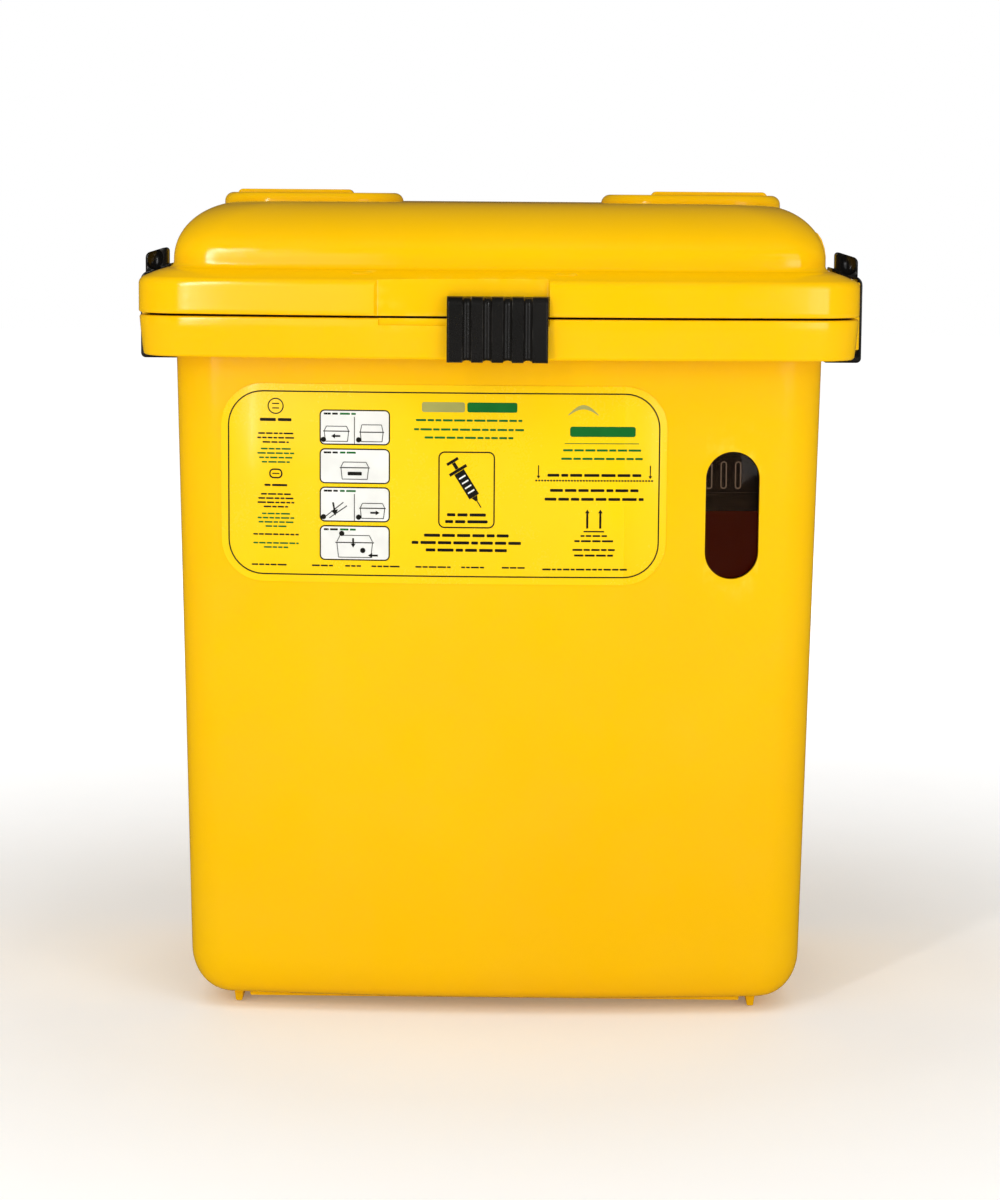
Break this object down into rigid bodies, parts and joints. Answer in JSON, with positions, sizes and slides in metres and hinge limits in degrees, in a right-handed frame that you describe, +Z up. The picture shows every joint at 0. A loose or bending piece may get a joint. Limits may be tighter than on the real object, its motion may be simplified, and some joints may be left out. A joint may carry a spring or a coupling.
{
  "type": "reusable sharps container",
  "caption": "Deep yellow waste bin with a bowed front and rolled rim, domed hinged lid with carrying grips, tilting inner tray, sliding latch and side locks.",
  "frame": {"origin": "bottom of the two runners, below the middle of the bounding box", "axes": "+X to the right seen from the front, +Y towards the hinges at the back, +Z up"},
  "size_m": [0.4296, 0.322, 0.475],
  "materials": {
    "bin_plastic": "satin gloss moulded polypropylene, yellow",
    "lid_plastic": "satin gloss moulded polypropylene, yellow",
    "grip_plastic": "satin gloss moulded polypropylene, yellow",
    "label_film": "gloss printed film, brighter yellow",
    "window_tint": "tinted clear polycarbonate",
    "seal_rubber": "matt black rubber",
    "bumper_rubber": "matt black rubber",
    "chute_plastic": "fine grained black plastic",
    "tray_plastic": "fine grained black plastic",
    "latch_plastic": "fine grained black plastic",
    "lock_plastic": "gloss black plastic",
    "bush_plastic": "natural acetal",
    "screw_steel": "zinc plated steel",
    "pin_steel": "bright ground steel",
    "spring_steel": "spring steel",
    "weight_steel": "drawn steel bar"
  },
  "bodies": {
    "bin": {"bin_shell": "bin_plastic", "label_panel": "label_film", "sight_window": "window_tint", "window_gasket": "seal_rubber", "chute_frame": "chute_plastic", "chute_screws": "screw_steel", "rim_seal": "seal_rubber", "hinge_pins": "pin_steel", "tray_bush_left": "bush_plastic", "tray_bush_right": "bush_plastic", "tray_bumpers": "bumper_rubber"},
    "lid": {"lid_shell": "lid_plastic", "grip_left": "grip_plastic", "grip_right": "grip_plastic", "grip_screws": "screw_steel"},
    "tray": {"tray": "tray_plastic", "tray_axle": "pin_steel", "axle_clips": "spring_steel", "counterweight": "weight_steel", "counterweight_cover": "tray_plastic"},
    "latch": {"latch_slider": "latch_plastic", "latch_clip": "latch_plastic", "latch_screws": "screw_steel"},
    "lock_left": {"side_lock_left": "lock_plastic"},
    "lock_right": {"side_lock_right": "lock_plastic"}
  },
  "joints": [
    {"name": "lid_hinge", "type": "hinge", "parent": "bin", "child": "lid", "pos_m": [0, 0.154, 0.4046], "axis": [-1, 0, 0], "range_deg": [0, 95]},
    {"name": "tray_tilt", "type": "hinge", "parent": "bin", "child": "tray", "pos_m": [0, 0.005, 0.337], "axis": [1, 0, 0], "range_deg": [0, 65]},
    {"name": "latch_slide", "type": "slide", "parent": "lid", "child": "latch", "axis": [-1, 0, 0], "range_m": [0, 0.038]},
    {"name": "lock_left_slide", "type": "slide", "parent": "bin", "child": "lock_left", "axis": [0, -1, 0], "range_m": [0, 0.03]},
    {"name": "lock_right_slide", "type": "slide", "parent": "bin", "child": "lock_right", "axis": [0, -1, 0], "range_m": [0, 0.03]}
  ]
}
